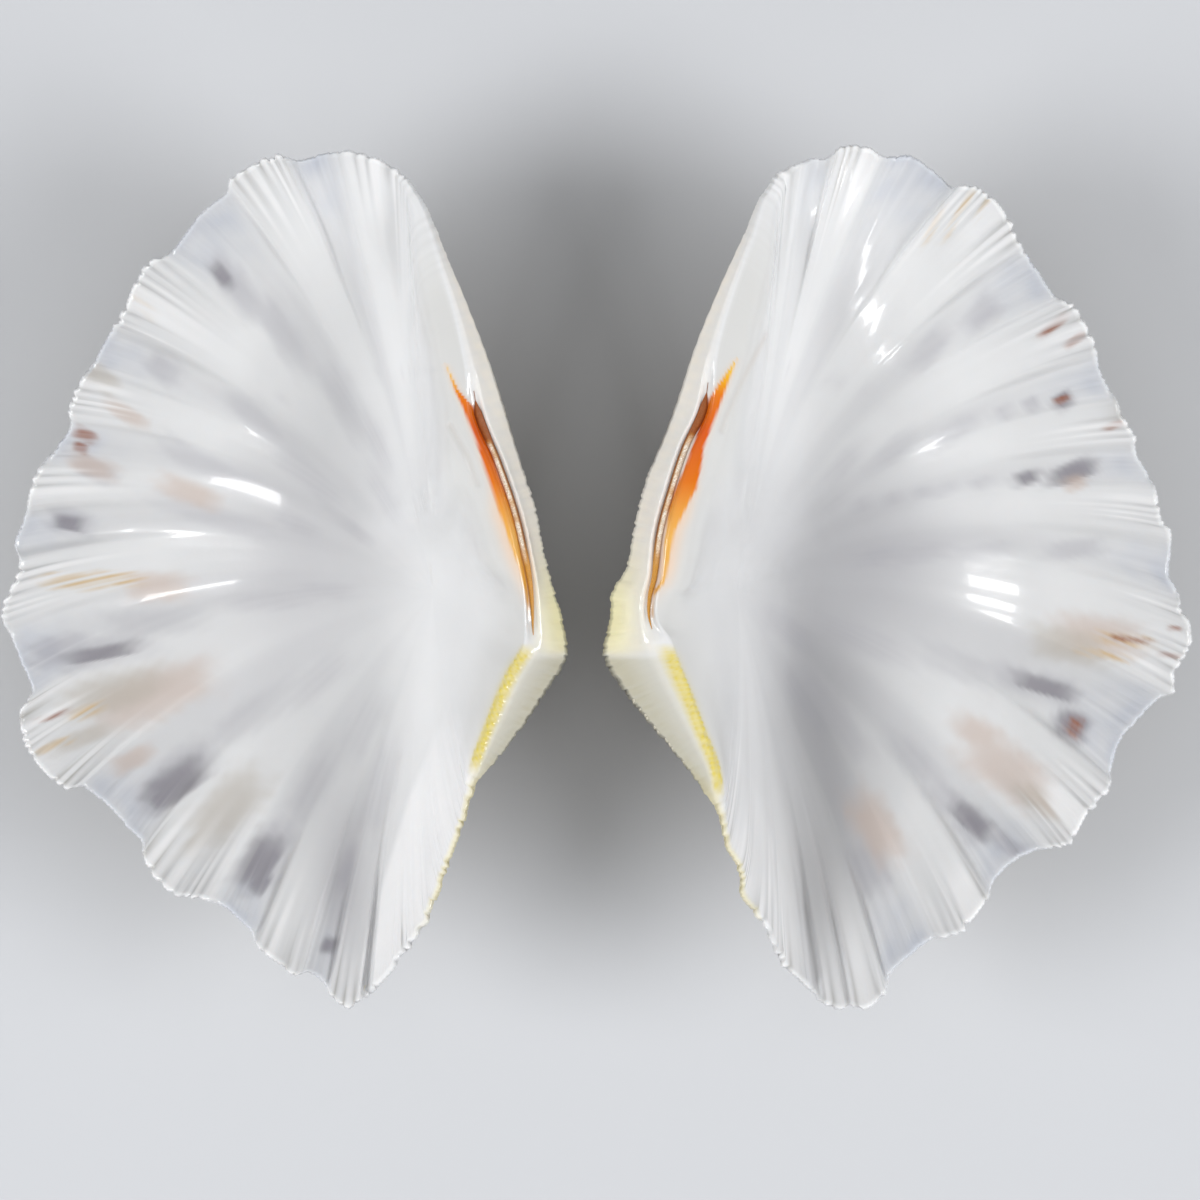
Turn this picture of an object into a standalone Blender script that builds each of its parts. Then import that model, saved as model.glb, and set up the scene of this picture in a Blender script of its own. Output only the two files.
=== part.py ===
"""China clam shell: two valves lying apart with their insides up, and the torn ligament in each hinge."""
import bmesh
import bpy
import numpy as np

# Stations round each valve, in millimetres from the beak, with the outline running anticlockwise.
# On the margin they are x, y and the fold: 1 on top of a lobe, -1 at the bottom of a trough.
# On the hinge side they are x, y, the width of the outer slope, the width of the hinge plate,
# and how far the outline lies below the plate.
LEFT_MARGIN = (
    (-23.5, 68.0, 0.1), (-26.2, 69.4, 0.6), (-30.1, 70.3, 0.6), (-33.9, 70.1, -0.8),
    (-37.4, 69.3, -0.7), (-40.2, 69.9, 0.6), (-43.7, 68.7, 1), (-46.6, 66.8, 0.8),
    (-47.7, 64.5, -0.4), (-51.4, 61.5, -1), (-54.2, 57.8, -0.9), (-56.1, 55.9, 0),
    (-58.1, 55.0, 0.8), (-60.6, 51.8, 1), (-62.3, 47.3, 0.7), (-64.3, 44.5, -0.6),
    (-65.9, 41.3, -0.8), (-67.9, 38.6, 0.5), (-69.6, 34.7, 0.9), (-69.4, 31.9, -0.4),
    (-71.3, 29.0, -0.6), (-74.1, 25.6, 0.3), (-75.2, 22.5, 0.6), (-76.0, 18.6, -0.5),
    (-77.3, 15.4, -0.6), (-76.4, 13.0, 0.5), (-77.7, 9.5, 0.9), (-79.1, 5.6, 0.9),
    (-77.7, 2.2, -0.7), (-76.0, -2.1, -1), (-74.8, -5.0, -0.4), (-76.6, -8.4, 0.7),
    (-76.6, -10.6, 1), (-74.1, -15.0, 1), (-69.9, -19.0, 0.8), (-67.6, -18.8, -0.3),
    (-64.8, -20.9, -1), (-61.6, -24.2, -1), (-59.4, -26.6, -0.2), (-59.4, -28.7, 0.7),
    (-57.5, -31.5, 1), (-55.0, -33.7, 1), (-50.8, -34.7, 0.5), (-47.7, -35.8, -0.9),
    (-44.2, -38.9, -0.9), (-43.3, -40.9, 0.3), (-41.7, -42.7, 0.9), (-38.1, -45.1, 0.8),
    (-36.3, -44.8, -0.5), (-34.0, -46.1, -0.8), (-32.6, -48.2, 0.6), (-30.4, -49.7, 0.9),
    (-28.6, -49.0, 0.5), (-27.4, -47.9, -0.3), (-25.6, -46.3, 0.7), (-23.7, -44.1, 0.6),
    (-20.9, -39.9, 0.2), (-19.0, -36.7, 0.5), (-17.5, -31.5, 0.4), (-15.7, -26.9, 0.3),
    (-14.1, -23.4, 0.2),
)
LEFT_HINGE = (
    (-13.0, -19.9, 0.35, 0.8, 0.9), (-11.6, -17.2, 0.8, 1.7, 1.1), (-9.4, -14.6, 2, 1.7, 2.4),
    (-5.7, -9.9, 3.6, 1.8, 4.2), (-2.4, -4.9, 4.6, 1.8, 5.6), (0.2, -0.5, 4.9, 1.8, 6.4),
    (-0.3, 4.3, 4.2, 1.8, 5.6), (-1.8, 9.5, 3.0, 2.9, 4.6),
    (-3.1, 14.7, 2.6, 5.9, 4), (-4.3, 20.7, 2.8, 6.2, 3.6), (-6.6, 27.7, 2.9, 5.8, 3.2),
    (-8.7, 34.7, 3.6, 4.8, 2.8), (-10.8, 41.0, 2.6, 4.8, 2.2), (-13.6, 48.3, 1.6, 4.6, 1.8),
    (-16.4, 55.3, 1.1, 4, 1.5), (-19.0, 62.0, 0.7, 2.4, 1.2), (-20.9, 65.2, 0.45, 1, 1),
)
RIGHT_MARGIN = (
    (-26.3, 68.3, 0.3), (-29.1, 69.3, -0.6), (-31.2, 69.4, -0.3), (-32.9, 70.6, 0.7),
    (-35.0, 71.1, 0.8), (-37.1, 71.1, 0.7), (-38.8, 69.9, 0.1), (-41.2, 69.6, -0.7),
    (-43.3, 69.7, -0.8), (-46.3, 67.6, -1), (-48.9, 65.5, -0.6), (-50.3, 65.7, 0.5),
    (-52.4, 65.4, 0.9), (-54.5, 64.0, 1), (-57.0, 60.8, 0.9), (-58.5, 57.8, 0.6),
    (-59.4, 56.1, -0.6), (-61.5, 53.1, -1), (-63.4, 50.4, -0.6), (-64.8, 49.3, 0.5),
    (-66.6, 48.2, 0.9), (-67.8, 45.9, 1), (-69.2, 43.1, 0.6), (-69.7, 40.6, -0.7),
    (-70.7, 37.7, -0.9), (-72.5, 35.3, 0.3), (-73.4, 32.8, 0.7), (-74.6, 30.8, 0.6),
    (-75.0, 28.0, -0.5), (-76.3, 25.6, -0.6), (-77.6, 23.1, 0.2), (-78.3, 19.6, 0.6),
    (-79.5, 17.2, 0.5), (-79.8, 14.4, -0.4), (-79.5, 11.2, -0.5), (-80.8, 8.5, -0.2),
    (-81.1, 6.6, 0.3), (-82.3, 3.9, 0.9), (-82.3, 1.1, 0.9), (-80.6, -2.4, 0.8),
    (-80.1, -5.5, 0.4), (-78.0, -6.4, -0.6), (-75.6, -8.8, -1), (-72.5, -12.7, -1),
    (-71.4, -16.7, -0.4), (-71.1, -18.9, 0.6), (-68.2, -22.4, 0.9), (-65.4, -26.9, 0.7),
    (-62.6, -27.3, 0.1), (-59.2, -28.3, -0.8), (-55.2, -31.6, -0.9), (-53.6, -35.1, 0.5),
    (-50.7, -38.6, 0.9), (-48.0, -39.8, 0.6), (-46.2, -40.0, -0.4), (-43.3, -42.1, -0.9),
    (-40.2, -45.2, -0.5), (-39.5, -47.6, 0.6), (-36.8, -49.8, 0.9), (-34.6, -49.4, -0.1),
    (-32.9, -49.7, 0.6), (-30.9, -49.1, 0.5), (-29.1, -47.6, -0.4), (-26.9, -45.6, 0.3),
    (-24.9, -43.7, 0.5), (-22.8, -39.2, 0), (-21.3, -36.3, 0.4), (-19.7, -33.5, 0.3),
    (-19.0, -29.3, 0.1), (-17.4, -26.9, 0.3),
)
RIGHT_HINGE = (
    (-16.1, -22.8, 0.35, 0.8, 0.9), (-14.8, -20.3, 0.9, 1.9, 1), (-12.9, -17.5, 2.3, 1.9, 2.4),
    (-9.9, -13.9, 3.8, 1.9, 4), (-6.3, -9.7, 5.4, 2, 5.4), (-2.7, -5.2, 6.8, 2, 6.4),
    (0.1, -0.3, 7.7, 2, 6.7), (-0.8, 4.6, 5.5, 3.1, 5.8),
    (-1.1, 8.5, 5.3, 3.9, 5.2), (-3.1, 11.9, 4.1, 5, 4.6), (-4.3, 17.9, 3.6, 5.8, 4),
    (-5.9, 24.2, 3.7, 5.1, 3.6), (-8.3, 29.8, 3.2, 4.9, 3.2), (-10.4, 35.4, 3.7, 4.5, 2.8),
    (-13.0, 43.1, 2.4, 5.8, 2.2), (-16.0, 50.4, 1.6, 5.4, 1.8), (-19.5, 58.2, 1.1, 4, 1.4),
    (-23.0, 65.9, 0.6, 1.8, 1.1),
)

MM = 0.001
LEFT_GROOVE = (6, 11)
RIGHT_GROOVE = (7, 13)
LEFT_PLACE = (-4.12, -10.65)
RIGHT_PLACE = (0.92, -10.65)

# The bowl of each valve
BOWL_CENTRE = (-33.0, 13.0)
OUTER_DEPTH = 30.5
INNER_DEPTH = 27.6
BOWL_POWER = 2.4
OUTLINE_WAVES = 5
BEAK = (-7.0, 1.5)
UMBO_CAVITY = (-19.0, 8.5)
KNEE = 0.45
PUSH = 0.07
BOW = 0.2
BOW_TOWARDS = np.radians(170)
LOBE_REACH = 0.6
RIM_REACH = 0.5
INNER_FOLD_REACH = 0.6
OUTER_FOLD_REACH = 0.9
REST_DEPTH = 0.45

# The rim
RIM_SLOPE = 0.35
RIM_TOP = 0.5
RIM_EDGE = 1.0
RIM_DIP = 0.25
FOLD_HEIGHT = 1.1
RIM_CHORD = 3
WALL_CHORD = 7
EASING = (1, 2, 3, 4, 5, 6, 5, 4, 3, 2, 1)
OUTER_RINGS = 9
INNER_RINGS = 9
RING_CROWDING = 1.25

# The groove and the ligament in it
GROOVE_HALF = 1.0
GROOVE_FLOOR_HALF = 0.6
GROOVE_DEPTH = 0.9
LIGAMENT_HALF = 0.4
LIGAMENT_RISE = 0.35
LIGAMENT_SIDES = 8
LIGAMENT_RINGS = 18
GAP = 0.3


def clear_scene():
    for obj in list(bpy.data.objects):
        bpy.data.objects.remove(obj, do_unlink=True)


def coloured(name, colour, roughness):
    material = bpy.data.materials.new(name)
    material.use_nodes = True
    shader = material.node_tree.nodes["Principled BSDF"]
    shader.inputs["Base Color"].default_value = colour
    shader.inputs["Roughness"].default_value = roughness
    return material


def stations(margin, hinge, groove):
    """One row a station: x, y, fold, slope, plate, drop and the depth of the ligament groove."""
    rows = [(x, y, fold, RIM_SLOPE, RIM_TOP, RIM_EDGE, 0.0) for x, y, fold in margin]
    for index, (x, y, slope, plate, drop) in enumerate(hinge):
        depth = GROOVE_DEPTH if groove[0] <= index <= groove[1] else 0.0
        rows.append((x, y, 0.0, slope, plate, drop, depth))
    return np.array(rows)


def inward(points, span):
    """The direction into the valve at each station, square to the chord from span back to span ahead."""
    chord = np.roll(points, -span, axis=0) - np.roll(points, span, axis=0)
    across = np.stack([-chord[:, 1], chord[:, 0]], axis=1)
    return across / np.linalg.norm(across, axis=1, keepdims=True)


def eased(points):
    """The outline with its lobes smoothed away."""
    middle = len(EASING) // 2
    total = sum(np.roll(points, step - middle, axis=0) * w for step, w in enumerate(EASING))
    return total / sum(EASING)


def rim(rows):
    """Rings of points over the rim, from the outline, across the groove, to the inner edge."""
    points, fold, slope, plate, drop, depth = rows[:, :2], *rows[:, 2:].T
    top = FOLD_HEIGHT * fold
    half = np.where(depth > 0, GROOVE_HALF, slope / 4)
    floor = np.where(depth > 0, GROOVE_FLOOR_HALF, slope / 10)
    middle = slope + (half + plate) / 2
    steps = (
        (0 * slope, top - drop),
        (0.45 * slope, top - 0.4 * drop),
        (slope - half, top - 0.1 * drop),
        (slope - floor, top - depth - 0.03 * drop),
        (slope + floor, top - depth),
        (slope + half, top),
        (middle, top - RIM_DIP / 5),
        (slope + plate, top - RIM_DIP),
    )
    into = inward(points, RIM_CHORD)
    return [np.column_stack([points + into * width[:, None], z]) for width, z in steps]


def bowl(points, edge, depth):
    """The height of a smooth bowl at plan points, its outline the edge with only its longest waves."""
    spoke = edge - BOWL_CENTRE
    turn = np.arctan2(spoke[:, 1], spoke[:, 0])
    even = np.linspace(-np.pi, np.pi, 256, endpoint=False)
    order = np.argsort(turn)
    radius = np.linalg.norm(spoke, axis=1)[order]
    waves = np.fft.rfft(np.interp(even, turn[order], radius, period=2 * np.pi))
    waves[OUTLINE_WAVES + 1 :] = 0
    smooth = np.fft.irfft(waves, 256)
    arm = points - BOWL_CENTRE
    reach = np.interp(np.arctan2(arm[..., 1], arm[..., 0]), even, smooth, period=2 * np.pi)
    share = np.linalg.norm(arm, axis=-1) / reach
    return -depth * (1 - share**BOWL_POWER)


def fade(share, reach):
    return np.clip(1 - share / reach, 0, 1) ** 2


def wall(edge, fold, end, depth, fold_reach, count):
    """Rings from an edge of the rim to one end of the shell, along lines that bow as the ribs do."""
    plan = edge[:, :2]
    base = eased(plan)
    way = end - base
    turn = np.arctan2(-way[:, 1], -way[:, 0])
    bow = BOW * np.clip(np.cos(turn - BOW_TOWARDS), 0, 1)[:, None]
    left = np.column_stack([-way[:, 1], way[:, 0]])
    push = PUSH * np.linalg.norm(way, axis=1, keepdims=True)
    knee = base + KNEE * way + bow * left + push * inward(base, WALL_CHORD)
    lift = edge[:, 2] - FOLD_HEIGHT * fold - bowl(plan, plan, depth)
    rings = []
    for step in range(1, count + 2):
        share = (step / (count + 1)) ** RING_CROWDING
        at = base * (1 - share) ** 2 + knee * 2 * share * (1 - share) + np.array(end) * share**2
        at += (plan - base) * fade(share, LOBE_REACH)
        height = bowl(at, plan, depth) + lift * fade(share, RIM_REACH)
        height += FOLD_HEIGHT * fold * fade(share, fold_reach)
        rings.append(np.column_stack([at, height]))
    return rings


def sphere(name, rings, material, collection, mirrored, place):
    """A closed skin through the rings: the first and last of them have come together in one point."""
    columns = len(rings[1])
    mesh = bpy.data.meshes.new(name)
    skin = bmesh.new()
    bmesh.ops.create_uvsphere(skin, u_segments=columns, v_segments=len(rings) - 1, radius=1)
    for vert in skin.verts:
        x, y, z = vert.co
        ring = round(np.arccos(np.clip(-z, -1, 1)) / np.pi * (len(rings) - 1))
        column = round(np.arctan2(y, x) / (2 * np.pi) * columns) % columns
        point = rings[ring][column]
        side = -1 if mirrored else 1
        vert.co = (side * point[0] + place[0], point[1] + place[1], point[2])
        vert.co *= MM
    if mirrored:
        bmesh.ops.reverse_faces(skin, faces=skin.faces)
    skin.to_mesh(mesh)
    skin.free()
    mesh.shade_smooth()
    mesh.materials.append(material)
    collection.objects.link(bpy.data.objects.new(name, mesh))


def valve(name, rows, collection, material, mirrored, place):
    """One valve, resting on its lowest point worn flat. Returns how far it was lifted."""
    band = rim(rows)
    fold = rows[:, 2]
    outer = wall(band[0], fold, BEAK, OUTER_DEPTH, OUTER_FOLD_REACH, OUTER_RINGS)
    inner = wall(band[-1], fold, UMBO_CAVITY, INNER_DEPTH, INNER_FOLD_REACH, INNER_RINGS)
    rings = outer[::-1] + band + inner
    ground = min(ring[:, 2].min() for ring in rings) + REST_DEPTH
    for ring in rings:
        ring[:, 2] = np.maximum(ring[:, 2] - ground, 0)
    sphere(name, rings, material, collection, mirrored, place)
    return -ground


def ligament(name, rows, margin_count, groove, lift, collection, material, mirrored, place):
    """A thin strip with blunt ends, lying in the groove."""
    first = margin_count + groove[0]
    last = margin_count + groove[1]
    part = rows[first : last + 1]
    into = inward(rows[:, :2], RIM_CHORD)[first : last + 1]
    line = part[:, :2] + into * part[:, 3:4]
    turn = np.arange(LIGAMENT_SIDES) * 2 * np.pi / LIGAMENT_SIDES
    rings = []
    for step in range(LIGAMENT_RINGS + 1):
        along = step / LIGAMENT_RINGS
        at = along * (len(part) - 1)
        stops = np.arange(len(part))
        centre = np.array([np.interp(at, stops, line[:, 0]), np.interp(at, stops, line[:, 1])])
        across = np.array([np.interp(at, stops, into[:, 0]), np.interp(at, stops, into[:, 1])])
        size = np.sqrt(np.sin(np.pi * along))
        plan = centre + across * LIGAMENT_HALF * size * np.cos(turn)[:, None]
        height = lift - GROOVE_DEPTH + GAP + LIGAMENT_RISE * (1 + size * np.sin(turn))
        rings.append(np.column_stack([plan, height]))
    sphere(name, rings, material, collection, mirrored, place)


def build():
    clear_scene()
    collection = bpy.data.collections.new("China clam shell")
    bpy.context.scene.collection.children.link(collection)
    shell = coloured("shell", (0.93, 0.92, 0.90, 1.0), 0.2)
    fibre = coloured("ligament", (0.33, 0.22, 0.12, 1.0), 0.75)
    pairs = (
        ("left", LEFT_MARGIN, LEFT_HINGE, LEFT_GROOVE, LEFT_PLACE, False),
        ("right", RIGHT_MARGIN, RIGHT_HINGE, RIGHT_GROOVE, RIGHT_PLACE, True),
    )
    for side, margin, hinge, groove, place, mirrored in pairs:
        rows = stations(margin, hinge, groove)
        lift = valve("valve_" + side, rows, collection, shell, mirrored, place)
        name = "ligament_" + side
        ligament(name, rows, len(margin), groove, lift, collection, fibre, mirrored, place)


build()
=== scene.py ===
"""China clam shell: the polished insides, chalky outsides and torn ligament of its two valves."""
from types import SimpleNamespace

import bpy
import numpy as np
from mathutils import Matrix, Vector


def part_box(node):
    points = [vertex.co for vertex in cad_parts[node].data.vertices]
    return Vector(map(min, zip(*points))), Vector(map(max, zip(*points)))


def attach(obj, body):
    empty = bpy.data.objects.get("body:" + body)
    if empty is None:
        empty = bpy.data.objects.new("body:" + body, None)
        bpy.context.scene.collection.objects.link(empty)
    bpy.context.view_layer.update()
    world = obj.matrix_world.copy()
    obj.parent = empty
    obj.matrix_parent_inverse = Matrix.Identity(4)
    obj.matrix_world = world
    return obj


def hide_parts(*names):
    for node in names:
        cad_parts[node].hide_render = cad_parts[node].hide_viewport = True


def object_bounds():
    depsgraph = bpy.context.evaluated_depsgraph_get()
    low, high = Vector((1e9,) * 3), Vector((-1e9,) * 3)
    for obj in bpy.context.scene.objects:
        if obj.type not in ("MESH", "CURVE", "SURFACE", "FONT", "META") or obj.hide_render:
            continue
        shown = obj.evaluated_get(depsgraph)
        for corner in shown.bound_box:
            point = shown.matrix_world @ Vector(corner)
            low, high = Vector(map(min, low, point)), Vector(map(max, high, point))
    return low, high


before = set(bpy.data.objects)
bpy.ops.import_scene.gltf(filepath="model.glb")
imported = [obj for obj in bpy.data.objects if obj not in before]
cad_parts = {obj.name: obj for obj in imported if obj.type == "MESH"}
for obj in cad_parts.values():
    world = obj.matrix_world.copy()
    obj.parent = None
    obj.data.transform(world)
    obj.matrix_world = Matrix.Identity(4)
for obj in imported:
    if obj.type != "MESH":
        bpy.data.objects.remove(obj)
cad_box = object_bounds()

# The two valves.
# Each grew as one piece of hard shell: a thin fluted margin, a deep glassy bowl and a thick hinge plate.
# Inside it is polished like porcelain. Outside it is chalky, with ribs that run from the beak to the margin.
MM = 0.001

# Stations round each valve, in millimetres from the beak, with the outline running anticlockwise.
# On the margin they are x, y and the fold: 1 on top of a lobe, -1 at the bottom of a trough.
# On the hinge side they are x, y, the width of the outer slope, the width of the hinge plate,
# and how far the outline lies below the plate.
LEFT_MARGIN = (
    (-23.5, 68.0, 0.1), (-26.2, 69.4, 0.6), (-30.1, 70.3, 0.6), (-33.9, 70.1, -0.8),
    (-37.4, 69.3, -0.7), (-40.2, 69.9, 0.6), (-43.7, 68.7, 1), (-46.6, 66.8, 0.8),
    (-47.7, 64.5, -0.4), (-51.4, 61.5, -1), (-54.2, 57.8, -0.9), (-56.1, 55.9, 0),
    (-58.1, 55.0, 0.8), (-60.6, 51.8, 1), (-62.3, 47.3, 0.7), (-64.3, 44.5, -0.6),
    (-65.9, 41.3, -0.8), (-67.9, 38.6, 0.5), (-69.6, 34.7, 0.9), (-69.4, 31.9, -0.4),
    (-71.3, 29.0, -0.6), (-74.1, 25.6, 0.3), (-75.2, 22.5, 0.6), (-76.0, 18.6, -0.5),
    (-77.3, 15.4, -0.6), (-76.4, 13.0, 0.5), (-77.7, 9.5, 0.9), (-79.1, 5.6, 0.9),
    (-77.7, 2.2, -0.7), (-76.0, -2.1, -1), (-74.8, -5.0, -0.4), (-76.6, -8.4, 0.7),
    (-76.6, -10.6, 1), (-74.1, -15.0, 1), (-69.9, -19.0, 0.8), (-67.6, -18.8, -0.3),
    (-64.8, -20.9, -1), (-61.6, -24.2, -1), (-59.4, -26.6, -0.2), (-59.4, -28.7, 0.7),
    (-57.5, -31.5, 1), (-55.0, -33.7, 1), (-50.8, -34.7, 0.5), (-47.7, -35.8, -0.9),
    (-44.2, -38.9, -0.9), (-43.3, -40.9, 0.3), (-41.7, -42.7, 0.9), (-38.1, -45.1, 0.8),
    (-36.3, -44.8, -0.5), (-34.0, -46.1, -0.8), (-32.6, -48.2, 0.6), (-30.4, -49.7, 0.9),
    (-28.6, -49.0, 0.5), (-27.4, -47.9, -0.3), (-25.6, -46.3, 0.7), (-23.7, -44.1, 0.6),
    (-20.9, -39.9, 0.2), (-19.0, -36.7, 0.5), (-17.5, -31.5, 0.4), (-15.7, -26.9, 0.3),
    (-14.1, -23.4, 0.2),
)
LEFT_HINGE = (
    (-13.0, -19.9, 0.35, 0.8, 0.9), (-11.6, -17.2, 0.8, 1.7, 1.1), (-9.4, -14.6, 2, 1.7, 2.4),
    (-5.7, -9.9, 3.6, 1.8, 4.2), (-2.4, -4.9, 4.6, 1.8, 5.6), (0.2, -0.5, 4.9, 1.8, 6.4),
    (-0.3, 4.3, 4.2, 1.8, 5.6), (-1.8, 9.5, 3.0, 2.9, 4.6),
    (-3.1, 14.7, 2.6, 5.9, 4), (-4.3, 20.7, 2.8, 6.2, 3.6), (-6.6, 27.7, 2.9, 5.8, 3.2),
    (-8.7, 34.7, 3.6, 4.8, 2.8), (-10.8, 41.0, 2.6, 4.8, 2.2), (-13.6, 48.3, 1.6, 4.6, 1.8),
    (-16.4, 55.3, 1.1, 4, 1.5), (-19.0, 62.0, 0.7, 2.4, 1.2), (-20.9, 65.2, 0.45, 1, 1),
)
RIGHT_MARGIN = (
    (-26.3, 68.3, 0.3), (-29.1, 69.3, -0.6), (-31.2, 69.4, -0.3), (-32.9, 70.6, 0.7),
    (-35.0, 71.1, 0.8), (-37.1, 71.1, 0.7), (-38.8, 69.9, 0.1), (-41.2, 69.6, -0.7),
    (-43.3, 69.7, -0.8), (-46.3, 67.6, -1), (-48.9, 65.5, -0.6), (-50.3, 65.7, 0.5),
    (-52.4, 65.4, 0.9), (-54.5, 64.0, 1), (-57.0, 60.8, 0.9), (-58.5, 57.8, 0.6),
    (-59.4, 56.1, -0.6), (-61.5, 53.1, -1), (-63.4, 50.4, -0.6), (-64.8, 49.3, 0.5),
    (-66.6, 48.2, 0.9), (-67.8, 45.9, 1), (-69.2, 43.1, 0.6), (-69.7, 40.6, -0.7),
    (-70.7, 37.7, -0.9), (-72.5, 35.3, 0.3), (-73.4, 32.8, 0.7), (-74.6, 30.8, 0.6),
    (-75.0, 28.0, -0.5), (-76.3, 25.6, -0.6), (-77.6, 23.1, 0.2), (-78.3, 19.6, 0.6),
    (-79.5, 17.2, 0.5), (-79.8, 14.4, -0.4), (-79.5, 11.2, -0.5), (-80.8, 8.5, -0.2),
    (-81.1, 6.6, 0.3), (-82.3, 3.9, 0.9), (-82.3, 1.1, 0.9), (-80.6, -2.4, 0.8),
    (-80.1, -5.5, 0.4), (-78.0, -6.4, -0.6), (-75.6, -8.8, -1), (-72.5, -12.7, -1),
    (-71.4, -16.7, -0.4), (-71.1, -18.9, 0.6), (-68.2, -22.4, 0.9), (-65.4, -26.9, 0.7),
    (-62.6, -27.3, 0.1), (-59.2, -28.3, -0.8), (-55.2, -31.6, -0.9), (-53.6, -35.1, 0.5),
    (-50.7, -38.6, 0.9), (-48.0, -39.8, 0.6), (-46.2, -40.0, -0.4), (-43.3, -42.1, -0.9),
    (-40.2, -45.2, -0.5), (-39.5, -47.6, 0.6), (-36.8, -49.8, 0.9), (-34.6, -49.4, -0.1),
    (-32.9, -49.7, 0.6), (-30.9, -49.1, 0.5), (-29.1, -47.6, -0.4), (-26.9, -45.6, 0.3),
    (-24.9, -43.7, 0.5), (-22.8, -39.2, 0), (-21.3, -36.3, 0.4), (-19.7, -33.5, 0.3),
    (-19.0, -29.3, 0.1), (-17.4, -26.9, 0.3),
)
RIGHT_HINGE = (
    (-16.1, -22.8, 0.35, 0.8, 0.9), (-14.8, -20.3, 0.9, 1.9, 1), (-12.9, -17.5, 2.3, 1.9, 2.4),
    (-9.9, -13.9, 3.8, 1.9, 4), (-6.3, -9.7, 5.4, 2, 5.4), (-2.7, -5.2, 6.8, 2, 6.4),
    (0.1, -0.3, 7.7, 2, 6.7), (-0.8, 4.6, 5.5, 3.1, 5.8),
    (-1.1, 8.5, 5.3, 3.9, 5.2), (-3.1, 11.9, 4.1, 5, 4.6), (-4.3, 17.9, 3.6, 5.8, 4),
    (-5.9, 24.2, 3.7, 5.1, 3.6), (-8.3, 29.8, 3.2, 4.9, 3.2), (-10.4, 35.4, 3.7, 4.5, 2.8),
    (-13.0, 43.1, 2.4, 5.8, 2.2), (-16.0, 50.4, 1.6, 5.4, 1.8), (-19.5, 58.2, 1.1, 4, 1.4),
    (-23.0, 65.9, 0.6, 1.8, 1.1),
)
# The groove runs from the one to the other of these hinge stations, counted from 0
LEFT_GROOVE = (6, 11)
RIGHT_GROOVE = (7, 13)
# Where the beaks lie from the middle of the pair
LEFT_PLACE = (-4.12, -10.65)
RIGHT_PLACE = (0.92, -10.65)

# The bowl, the lines that its ribs follow, and the groove of the ligament, in millimetres.
# The knee of a line, and how far it is pushed inwards and bowed, are shares of the line's length.
BOWL_CENTRE = np.array((-33.0, 13.0))
OUTER_DEPTH = 30.5
INNER_DEPTH = 27.6
BOWL_POWER = 2.4
BEAK = (-7.0, 1.5)
UMBO_CAVITY = (-19.0, 8.5)
KNEE = 0.45
PUSH = 0.07
BOW = 0.2
BOW_TOWARDS = np.radians(170)
FOLD_HEIGHT = 1.1
REST_DEPTH = 0.45
WALL_GAP = 0.8
GROOVE_HALF = 1.0
GROOVE_FLOOR_HALF = 0.6
GROOVE_DEPTH = 0.9

# How finely a valve is meshed, how far apart its small forms are, and how many columns a mean takes in.
# Rim stops count along the corners of the rim's section: 3 and 4 are the floor of the groove.
COLUMNS = 1140
OUTER_RINGS = 18
INNER_RINGS = 50
FINE_STEP = 0.36
FINE_RINGS = 16
RIM_STOPS = (0, 0.25, 0.5, 0.75, 1, 1.25, 1.5, 1.75, 2, 2.5, 3, 3.5, 4, 4.5, 5)
RIBLET_PITCH = 1.9
LUMP_PITCH = 2.0
TOOTH_PITCH = 1.25
LOBE_FALL = 12.0
HINGE_FALL = 40.0
ROLL_PASSES = 90


def stations(margin, hinge, groove):
    """One row a station: x, y, fold, slope, plate, drop and the depth of the ligament groove."""
    rows = [(x, y, fold, 0.35, 0.5, 1.0, 0.0) for x, y, fold in margin]
    for index, (x, y, slope, plate, drop) in enumerate(hinge):
        depth = GROOVE_DEPTH if groove[0] <= index <= groove[1] else 0.0
        rows.append((x, y, 0.0, slope, plate, drop, depth))
    return np.array(rows)


def inward(points, span):
    """The unit direction into the valve, square to the chord from span stations back to span ahead."""
    chord = np.roll(points, -span, axis=0) - np.roll(points, span, axis=0)
    across = np.stack([-chord[:, 1], chord[:, 0]], axis=1)
    return across / np.linalg.norm(across, axis=1, keepdims=True)


def eased(points):
    """The outline with its lobes smoothed away: a mean over 11 stations that falls off to both sides."""
    weights = (1, 2, 3, 4, 5, 6, 5, 4, 3, 2, 1)
    return sum(np.roll(points, step - 5, axis=0) * w for step, w in enumerate(weights)) / sum(weights)


def spread_round(points):
    """A function that carries values from the stations to every column, by a closed cubic in chord length."""
    step = np.linalg.norm(np.roll(points, -1, axis=0) - points, axis=1)
    run = np.concatenate([[0.0], np.cumsum(step)])
    at = np.linspace(0.0, run[-1], COLUMNS, endpoint=False)
    k = np.clip(np.searchsorted(run, at, side="right") - 1, 0, len(points) - 1)
    t = ((at - run[k]) / step[k])[:, None]

    def spread(values):
        values = np.asarray(values, float).reshape(len(points), -1)
        after = np.roll(values, -1, axis=0)
        grade = (after - np.roll(values, 1, axis=0)) / (step + np.roll(step, 1))[:, None]
        first = grade[k] * step[k, None]
        last = np.roll(grade, -1, axis=0)[k] * step[k, None]
        rise = t * t * (3 - 2 * t)
        bend = t * (1 - t) ** 2 * first - t * t * (1 - t) * last
        return values[k] * (1 - rise) + after[k] * rise + bend

    return spread, at


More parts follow.
